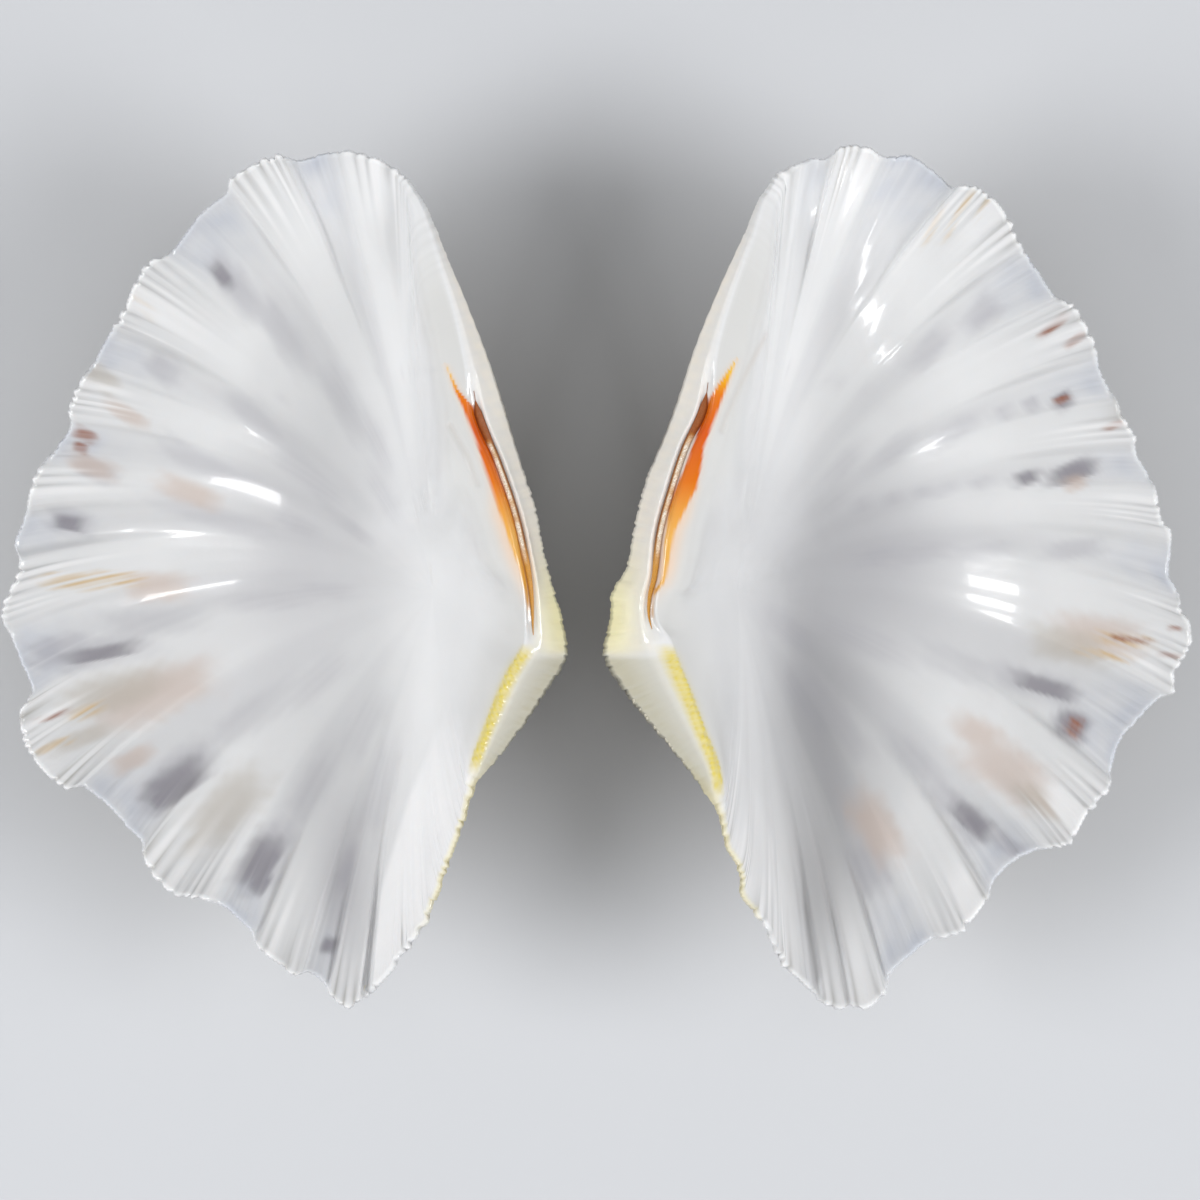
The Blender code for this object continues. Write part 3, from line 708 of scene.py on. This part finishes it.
def inside_colour(grid, valve, on):
    """White porcelain, greyer in the deep middle partly as painted shade, blue and thin in the troughs, with
    stains between ribs, painted shade in the riblet grooves and painted highlights on the crests and the
    front end.
    """
    seed, reach, across, inner = valve["seed"], on.reach, on.across, on.inner
    x, y, plan_at = grid[..., 0], grid[..., 1], grid[..., :2]
    not_outer, margin = 1 - on.outer, 1 - on.hinge
    colour = np.broadcast_to(WHITE, grid.shape).copy()
    # The deep pools are partly the shell's own grey and partly painted shade of the deep bowl
    for centre, size, deep_tone in valve["deep"]:
        pool = np.exp(-(np.linalg.norm((plan_at - centre) / size, axis=-1) ** 2))
        colour = lay(colour, 0.85 * pool * inner, deep_tone)
    patchy = 0.75 + 0.25 * np.sin(0.9 * reach + 2.0 * turns(9, seed)) * turns(27, seed)
    thin = (0.9 * on.trough + 0.15) * np.exp(-((reach / 10.0) ** 2)) * margin * patchy
    colour = lay(colour, 0.75 * thin * not_outer, THIN_BLUE)
    deep_band = np.exp(-(((reach - 29) / 20) ** 2)) * inner * margin
    colour = lay(colour, 0.15 * on.trough * deep_band, SPOT_GREY)
    colour = lay(colour, 0.15 * on.lobe * deep_band, CREST_WHITE_AND_HIGHLIGHT)
    soft = (0.9 + 0.1 * on.ripple) * (0.35 + 0.65 * np.exp(-((reach / 22) ** 2)))
    streak = np.clip(0.55 + 0.4 * turns(173, seed) + 0.3 * turns(297, 2 * seed), 0, 1)
    for kind, strength, own_seed, paint in (
        ("grey", 0.55 * soft, 0.0, SPOT_GREY),
        ("dark", 0.65, 1.0, SPOT_DARK),
        ("peach", 0.60, 2.0, PEACH),
        ("olive", 0.60, 2.5, OLIVE),
        ("yellow", 0.85 * streak, 3.0, YELLOW),
        ("rust", 0.95 * (0.4 + 0.6 * streak), 4.0, RUST),
    ):
        colour = lay(colour, strength * spots(plan_at, valve["stains"][kind], own_seed) * inner, paint)
    dirty = on.margin_line * hashed(np.floor(on.at / 5.0), seed) ** 2
    colour = lay(colour, 0.6 * np.clip(dirty, 0, 1) * not_outer, GROOVE_STAIN)
    scar_line = np.exp(-((near_line(plan_at, valve["scar"]) / 0.35) ** 2))
    colour = lay(colour, 0.35 * scar_line * inner, MIDDLE_GREY)
    dent_line = np.exp(-((near_line(plan_at, valve["dent"]) / 0.4) ** 2))
    colour = lay(colour, 0.6 * dent_line * inner, DENT_BEIGE)
    # Painted shade: the riblet grooves near the margin are darkened
    colour *= (1 - 0.34 * on.margin_line * not_outer)[..., None]
    fine = 0.5 * turns(211, seed) * turns(67, 1.0) + 0.5 * turns(353, 2.0) * turns(31, seed)
    colour *= (1 + 0.02 * fine * np.exp(-((reach / 12) ** 2)))[..., None]
    # Painted highlights: white laid on the riblet crests of the lobes and as glints along the ridges near the
    # margin
    crest_highlight = on.lobe * on.ridge * on.riblet_size * np.exp(-((reach / (1.6 * on.riblet_reach)) ** 2))
    colour = lay(colour, 0.9 * np.clip(crest_highlight, 0, 1) * not_outer, CREST_WHITE_AND_HIGHLIGHT)
    glint = on.ridge**8 * np.clip(1.6 * on.stick_out - 0.3, 0, 1) * np.clip(on.lobe + 0.2, 0, 1)
    glint = glint * np.exp(-(((reach - 6) / (1.0 + on.riblet_reach)) ** 2)) * margin
    colour = lay(colour, 0.85 * glint * not_outer, CREST_WHITE_AND_HIGHLIGHT)
    hinge_white = on.hinge * np.exp(-(((across - on.slope - 2) / 8) ** 2)) * np.clip(across - on.slope, 0, 1)
    colour = lay(colour, 0.8 * hinge_white * inner, PLATE_WHITE)
    # Painted light: the front end of the wall, which faces the lamp, is laid whiter, strongly on the left
    # valve
    anterior_edge = np.interp(y, (-49, -35, -20, 0), (-27.7, -26.9, -22.4, -14.0))
    anterior = np.clip((x - anterior_edge) / 0.8, 0, 1) * np.clip(-(y + 8) / 14, 0, 1)
    return lay(colour, valve["anterior_painted_light"] * anterior * inner, CREST_WHITE_AND_HIGHLIGHT)


def hinge_colour(colour, grid, valve, on):
    """The orange nymph with its pale halo, the yellow toothed band, the creamy slope at the beak, and the
    grey lunule below the beak, darkened partly by painted shade.
    """
    across, not_outer = on.across, 1 - on.outer
    x, y, plan_at = grid[..., 0], grid[..., 1], grid[..., :2]
    beyond = np.maximum(on.nymph_start - across, across - on.nymph_stop).clip(0)
    low_nymph = np.clip((24 - y) / 5, 0, 1)
    halo = np.exp(-((beyond / (0.6 + 0.9 * low_nymph)) ** 2)) * on.beside_nymph * np.clip((y - 6) / 6, 0, 1)
    colour = lay(colour, (0.25 + 0.35 * low_nymph) * halo * not_outer, HALO)
    orange = np.stack([np.interp(y, NYMPH_PLACES, channel) for channel in NYMPH_TONES.T], axis=-1)
    colour = lay(colour, on.nymph, orange)
    worn = 0.5 + 0.5 * np.sin(1.1 * y + 2.0 * across) * np.sin(2.3 * y - 1.3 * across + valve["seed"])
    from_band = across - (on.slope + 0.55 * on.plate)
    glow = np.exp(-((from_band / (0.55 * on.plate + 0.6)) ** 2)) * on.below_beak * not_outer
    colour = lay(colour, 0.35 * glow * (0.6 + 0.4 * worn), BAND_YELLOW)
    colour = lay(colour, np.clip(1.15 * on.band, 0, 1) * (0.7 + 0.3 * on.teeth), BAND_YELLOW)
    low_edge = np.clip(-(y + 14.0) / 4.0, 0, 1) * np.clip((y + 40.0) / 6.0, 0, 1) * (x > -22)
    colour = lay(colour, 0.5 * low_edge * np.exp(-((across / 0.9) ** 2)) * not_outer, BAND_YELLOW)
    beak_near = np.exp(-(np.linalg.norm((plan_at - (-1.0, 5.0)) / (5.0, 8.0), axis=-1) ** 2))
    slope_face = np.clip(1.2 - across / np.maximum(on.slope, 0.5), 0, 1) * on.rim * on.hinge
    colour = lay(colour, (0.55 + 0.3 * worn) * slope_face * np.clip((y + 1) / 2, 0, 1), SLOPE_CREAM)
    colour = lay(colour, 0.75 * beak_near * slope_face * np.clip((y + 1.0) / 1.5, 0, 1), BEAK_YELLOW)
    # The lunule face below the beak is laid grey-olive, its own colour deepened as painted shade
    return lay(colour, 0.75 * slope_face * np.clip(-(y + 0.2) / 0.8, 0, 1), LUNULE_GREY_AND_SHADE)


def outside_colour(grid, valve, on):
    """Cream, with rows of plum blotches in the troughs and apricot on the ribs near the beak."""
    plum = np.clip(np.sin(on.reach * 0.85 + 1.3 * turns(23, valve["seed"])) - 0.25, 0, 1) * on.trough
    apricot = np.exp(-(((on.reach - 38) / 20) ** 2)) * np.clip(on.fold + 0.4, 0, 1)
    colour = np.broadcast_to(OUTSIDE_CREAM, grid.shape).copy()
    colour = lay(colour, 0.5 * apricot, OUTSIDE_APRICOT)
    colour = lay(colour, 0.75 * plum * np.clip(on.reach / 4, 0, 1), OUTSIDE_PLUM)
    return lay(colour, 0.25 * on.growth * np.clip(on.reach / 3, 0, 1), GROOVE_STAIN)


def set_down(grid, valve, box):
    """Lays a valve on its worn flat in its place, and fits it to the box of its solid, in millimetres."""
    low, high = (np.array(corner) / MM for corner in box)
    grid[..., 0] = (-1.0 if valve["mirrored"] else 1.0) * grid[..., 0] + valve["place"][0]
    grid[..., 1] += valve["place"][1]
    ground = grid[..., 2].min() + REST_DEPTH
    grid[..., 2] = np.maximum(grid[..., 2] - ground, 0)
    small, large = grid.reshape(-1, 3).min(axis=0), grid.reshape(-1, 3).max(axis=0)
    return low + (grid - small) * (high - low) / (large - small)


def closed_mesh(name, ends, rings, end_tints, tints):
    """A closed mesh of rings: quads from each ring to the next, and a fan at either end.

    The quads come first, ring by ring, and then the two fans. All are turned round if they face inwards,
    which shows in the sign of the volume.
    """
    count, columns = rings.shape[:2]
    points = np.concatenate([ends[:1], rings.reshape(-1, 3), ends[1:]])
    tints = np.concatenate([end_tints[:1], tints.reshape(-1, 3), end_tints[1:]])
    column = np.arange(columns)
    after = (column + 1) % columns
    lower = 1 + np.arange(count - 1)[:, None] * columns
    upper = lower + columns
    quads = np.stack([lower + column, lower + after, upper + after, upper + column], axis=-1).reshape(-1, 4)
    last_ring = 1 + (count - 1) * columns
    first_fan = np.stack([np.zeros(columns, int), 1 + after, 1 + column], axis=-1)
    last_fan = np.stack([np.full(columns, len(points) - 1), last_ring + column, last_ring + after], axis=-1)
    faces = [quads, first_fan, last_fan]
    corner = points[np.concatenate([quads[:, :3], quads[:, [0, 2, 3]], first_fan, last_fan])]
    if np.einsum("ij,ij->i", corner[:, 0], np.cross(corner[:, 1], corner[:, 2])).sum() < 0:
        faces = [part[:, ::-1] for part in faces]
    mesh = bpy.data.meshes.new(name)
    mesh.from_pydata(points * MM, [], sum((part.tolist() for part in faces), []))
    mesh.shade_smooth()
    paint = mesh.color_attributes.new("tint", "FLOAT_COLOR", "POINT")
    paint.data.foreach_set("color", np.column_stack([tints, np.ones(len(tints))]).ravel())
    return mesh


def put_in_place(name, node, mesh, materials):
    """Makes the mesh a piece that rides on the part's body in the place of a CAD node."""
    for material in materials:
        mesh.materials.append(material)
    piece = bpy.data.objects.new(name, mesh)
    bpy.context.scene.collection.objects.link(piece)
    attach(piece, "root")
    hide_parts(node)
    return piece


def valve_piece(name, node, valve):
    """One valve as a closed mesh, and the two sides of the floor of its groove, where the ligament lies."""
    on = valve_outline(valve)
    grid = valve_rings(on)
    carve(grid, valve, on)
    colour = hinge_colour(inside_colour(grid, valve, on), grid, valve, on)
    colour = np.where(on.outer[..., None] > 0, outside_colour(grid, valve, on), colour)
    grid = set_down(grid, valve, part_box(node))

    # The first and the last ring have come together in one point each
    mesh = closed_mesh(name, grid[[0, -1], 0], grid[1:-1], colour[[0, -1], 0], colour[1:-1])
    piece = put_in_place(name, node, mesh, (PORCELAIN, CHALK))
    quads = (len(grid) - 3) * COLUMNS
    is_chalk = np.zeros(len(mesh.polygons), int)
    is_chalk[: (on.first_rim - 1) * COLUMNS] = 1
    is_chalk[quads : quads + COLUMNS] = 1
    mesh.polygons.foreach_set("material_index", is_chalk)
    in_groove = on.depth > 0.5 * GROOVE_DEPTH
    floor_sides = [grid[on.first_rim + RIM_STOPS.index(stop)][in_groove] for stop in (3, 4)]
    return piece, floor_sides


def shell_material(name, roughness, coat, under, bump_size, bump_depth):
    """Shell or horn: its painted tint times a faint mottle, with a fine grain in its bumps and its gloss."""
    material = bpy.data.materials.new(name)
    material.use_nodes = True
    nodes = material.node_tree.nodes
    link = material.node_tree.links.new
    shader = nodes["Principled BSDF"]
    tint = nodes.new("ShaderNodeAttribute")
    tint.attribute_name = "tint"
    place = nodes.new("ShaderNodeTexCoord")
    mottle = nodes.new("ShaderNodeTexNoise")
    mottle.inputs["Scale"].default_value = 120.0
    mottle.inputs["Detail"].default_value = 4.0
    link(place.outputs["Object"], mottle.inputs["Vector"])
    shade = nodes.new("ShaderNodeMapRange")
    shade.inputs["To Min"].default_value = 0.97
    shade.inputs["To Max"].default_value = 1.03
    link(mottle.outputs["Fac"], shade.inputs["Value"])
    mix = nodes.new("ShaderNodeMix")
    mix.data_type = "RGBA"
    mix.blend_type = "MULTIPLY"
    mix.inputs[0].default_value = 1.0
    link(tint.outputs["Color"], mix.inputs[6])
    link(shade.outputs["Result"], mix.inputs[7])
    link(mix.outputs[2], shader.inputs["Base Color"])
    grain = nodes.new("ShaderNodeTexNoise")
    grain.inputs["Scale"].default_value = bump_size
    grain.inputs["Detail"].default_value = 5.0
    link(place.outputs["Object"], grain.inputs["Vector"])
    bump = nodes.new("ShaderNodeBump")
    bump.inputs["Strength"].default_value = bump_depth
    bump.inputs["Distance"].default_value = 0.0003
    link(grain.outputs["Fac"], bump.inputs["Height"])
    link(bump.outputs["Normal"], shader.inputs["Normal"])
    gloss = nodes.new("ShaderNodeMapRange")
    gloss.inputs["To Min"].default_value = roughness * 0.8
    gloss.inputs["To Max"].default_value = roughness * 1.25
    link(grain.outputs["Fac"], gloss.inputs["Value"])
    link(gloss.outputs["Result"], shader.inputs["Roughness"])
    shader.inputs["Coat Weight"].default_value = coat
    shader.inputs["Coat Roughness"].default_value = 0.04
    shader.inputs["Subsurface Weight"].default_value = under
    shader.inputs["Subsurface Radius"].default_value = (1.0, 0.85, 0.75)
    shader.inputs["Subsurface Scale"].default_value = 0.002
    return material


PORCELAIN = shell_material("porcelain", 0.22, 0.5, 0.15, 300.0, 0.12)
CHALK = shell_material("chalky_outside", 0.55, 0.0, 0.05, 1400.0, 0.6)

# The front end of the left valve gets the stronger painted light, white laid where its wall faces the lamp.
# The seeds make the riblets of the two differ.
LEFT_VALVE = {
    "margin": LEFT_MARGIN, "hinge": LEFT_HINGE, "groove": LEFT_GROOVE, "stains": LEFT_STAINS,
    "nymph": LEFT_NYMPH, "ridge": LEFT_RIDGE, "scar": LEFT_SCAR, "dent": LEFT_DENT, "deep": LEFT_DEEP_GREY_AND_SHADE,
    "anterior_painted_light": 0.85, "place": LEFT_PLACE, "mirrored": False, "seed": 1.0,
}
RIGHT_VALVE = {
    "margin": RIGHT_MARGIN, "hinge": RIGHT_HINGE, "groove": RIGHT_GROOVE, "stains": RIGHT_STAINS,
    "nymph": RIGHT_NYMPH, "ridge": RIGHT_RIDGE, "scar": RIGHT_SCAR, "dent": RIGHT_DENT, "deep": RIGHT_DEEP_GREY_AND_SHADE,
    "anterior_painted_light": 0.1, "place": RIGHT_PLACE, "mirrored": True, "seed": 2.0,
}
left_valve, left_floor = valve_piece("left_valve", "valve_left", LEFT_VALVE)
right_valve, right_floor = valve_piece("right_valve", "valve_right", RIGHT_VALVE)

# The ligament.
# A strip of brown horny fibre once joined the valves along their hinge. It tore when they were opened,
# and what is left lies in the groove of each valve, with pale crumbs of dried fibre along it.
LIGAMENT_ROWS = 320
LIGAMENT_SIDES = 24
DARK_HORN = tone(126, 78, 48)
LEAF_BROWN = tone(150, 84, 40)
GOLDEN_HORN = tone(206, 146, 62)
CRUMB = tone(244, 236, 222)


def ligament_piece(name, node, floor_sides, seed):
    """A tapered strip along the groove, rough with crumbs along its middle.

    Each row is a low half round across the floor of the groove: the cosine of the turn lies across it, and
    the sine stands up from it.
    """
    t = np.linspace(0, 1, LIGAMENT_ROWS)[:, None]
    share = np.linspace(0, 1, len(floor_sides[0]))
    outer_side, inner_side = (
        np.stack([np.interp(t[:, 0], share, side[:, axis]) for axis in range(3)], axis=-1)
        for side in floor_sides
    )
    across = inner_side - outer_side
    groove_width = np.linalg.norm(across, axis=1, keepdims=True)
    middle = (outer_side + inner_side) / 2
    turn = np.linspace(0, 2 * np.pi, LIGAMENT_SIDES, endpoint=False)[None, :]
    toward_inside, up = np.cos(turn), np.sin(turn)
    taper = np.clip(np.minimum((t + 0.01) / 0.35, (0.965 - t) / 0.05), 0.04, 1) ** 0.7
    leaf = np.exp(-(((t - 0.87) / 0.06) ** 2))
    draw = hashed(np.arange(LIGAMENT_ROWS * LIGAMENT_SIDES).reshape(LIGAMENT_ROWS, -1), seed)
    clump = 0.5 + 0.5 * np.sin(61 * t + seed) * np.sin(37 * t + 2 * seed)
    along_crumbs = np.clip((t - 0.30) / 0.1, 0, 1) * np.clip((0.80 - t) / 0.02, 0, 1)
    crumbs = along_crumbs * np.clip(clump + 0.35, 0, 1)
    crumbs = crumbs * np.clip((toward_inside + 0.5) / 0.3, 0, 1) * np.clip(up + 0.4, 0, 1)
    half_width = 0.5 * groove_width * taper * (0.80 + 0.22 * leaf)
    fibre = 0.03 * np.sin(5 * turn + 9 * t) + 0.02 * np.sin(9 * turn - 23 * t)
    height = (0.42 * np.maximum(up, 0) + 0.12 * np.minimum(up, 0)) * taper
    height += np.maximum(up, 0) * (fibre + 0.22 * crumbs * draw) * taper
    grid = middle[:, None] + (across / groove_width)[:, None] * (toward_inside * half_width)[..., None]
    grid[..., 2] += height
    colour = np.broadcast_to(GOLDEN_HORN, grid.shape).copy()
    outer_line = np.clip((-0.35 - toward_inside) / 0.25, 0, 1) * np.clip((t - 0.30) / 0.1, 0, 1)
    colour = lay(colour, 0.95 * outer_line, DARK_HORN)
    colour = lay(colour, np.clip((t - 0.78) / 0.03, 0, 1) * np.ones_like(draw), LEAF_BROWN)
    colour = lay(colour, np.clip(crumbs * (0.55 + 0.6 * draw), 0, 1), CRUMB)
    colour *= (0.85 + 0.3 * draw)[..., None]
    mesh = closed_mesh(name, middle[[0, -1]], grid, colour[[0, -1], 0], colour)
    return put_in_place(name, node, mesh, (HORN,))


HORN = shell_material("ligament_fibre", 0.5, 0.0, 0.0, 1500.0, 0.5)
left_ligament = ligament_piece("left_ligament", "ligament_left", left_floor, 3.0)
right_ligament = ligament_piece("right_ligament", "ligament_right", right_floor, 4.0)

# The floor.
# A plain pale sheet far larger than the shell, with no gloss. Both valves lie on it.
FLOOR_HALF = 1.5
FLOOR_GREY = (0.42, 0.43, 0.45, 1.0)

floor_mesh = bpy.data.meshes.new("floor")
floor_corners = [(FLOOR_HALF * x, FLOOR_HALF * y, 0) for x, y in ((-1, -1), (1, -1), (1, 1), (-1, 1))]
floor_mesh.from_pydata(floor_corners, [], [(0, 1, 2, 3)])
floor = bpy.data.objects.new("floor", floor_mesh)
bpy.context.scene.collection.objects.link(floor)
floor_paint = bpy.data.materials.new("floor_paint")
floor_paint.use_nodes = True
floor_shader = floor_paint.node_tree.nodes["Principled BSDF"]
floor_shader.inputs["Base Color"].default_value = FLOOR_GREY
floor_shader.inputs["Roughness"].default_value = 0.9
floor_mesh.materials.append(floor_paint)

# The light.
# Large soft lamps above and to both sides shade the shell, and three small strips give it its highlights.
# The real ones lie on the outer side of both valves, so each valve has side lamps of its own.
ROOM_LIGHT = 0.26


def soft_light(name, place, aim, size, power, pieces):
    """A rectangular lamp turned towards a point. It lights only the pieces that are named, or else all."""
    lamp = bpy.data.lights.new(name, "AREA")
    lamp.shape = "RECTANGLE"
    lamp.size, lamp.size_y = size
    lamp.energy = power
    stand = bpy.data.objects.new(name, lamp)
    stand.location = place
    way = np.array(aim) - np.array(place)
    turn = np.arctan2(way[1], way[0])
    tilt = np.arctan2(np.hypot(way[0], way[1]), -way[2])
    stand.rotation_euler = (tilt, 0.0, turn - np.pi / 2)
    bpy.context.scene.collection.objects.link(stand)
    if pieces:
        group = bpy.data.collections.new(name + "_receivers")
        for piece in pieces:
            group.objects.link(piece)
        stand.light_linking.receiver_collection = group
    return stand


left_pieces = [left_valve, left_ligament]
right_pieces = [right_valve, right_ligament]
for name, place, size, power, pieces in (
    ("overhead", (0.0, -0.1, 1.3), (1.2, 1.0), 4.9, None),
    ("fill_right", (1.0, -0.3, 0.7), (0.7, 0.6), 9.0, [*right_pieces, floor]),
    ("fill_left", (-1.0, -0.2, 0.7), (0.7, 0.6), 8.4, [*left_pieces, floor]),
    ("counter_right", (0.8, -0.1, 0.8), (0.5, 0.5), 5.2, [*left_pieces, floor]),
    ("counter_left", (-0.8, -0.1, 0.8), (0.5, 0.5), 5.6, [*right_pieces, floor]),
):
    soft_light(name, place, (0.0, 0.0, 0.0), size, power, pieces).visible_glossy = False
for name, place, aim, size, power, pieces in (
    ("strip_right", (0.50, 0.0, 0.50), (0.0, 0.0, 0.22), (0.13, 0.62), 2.8, left_pieces),
    ("strip_left", (-0.50, 0.05, 0.50), (0.0, 0.0, 0.22), (0.10, 0.24), 0.9, right_pieces),
    ("strip_low", (0.05, -0.95, 0.42), (0.0, 0.0, 0.02), (0.12, 0.26), 0.9, [right_valve]),
):
    soft_light(name, place, aim, size, power, pieces).visible_diffuse = False

room = bpy.data.worlds.new("room")
room.use_nodes = True
room.node_tree.nodes["Background"].inputs["Color"].default_value = (1.0, 1.0, 1.0, 1.0)
room.node_tree.nodes["Background"].inputs["Strength"].default_value = ROOM_LIGHT
bpy.context.scene.world = room
bpy.context.scene.view_settings.view_transform = "Standard"

# The camera.
# It looks straight down, with no shift. The lens frames the width that the photograph takes in at the
# height of the rims, in metres.
CAMERA_HEIGHT = 1.0
FRAME_WIDTH = 0.1673
VIEW_CENTRE = (0.0005, -0.0032)

lens = bpy.data.cameras.new("camera")
lens.sensor_width = 36.0
rim_height = cad_box[1][2]
lens.lens = lens.sensor_width * (CAMERA_HEIGHT - rim_height) / FRAME_WIDTH
camera = bpy.data.objects.new("camera", lens)
camera.location = (*VIEW_CENTRE, CAMERA_HEIGHT)
bpy.context.scene.collection.objects.link(camera)
bpy.context.scene.camera = camera
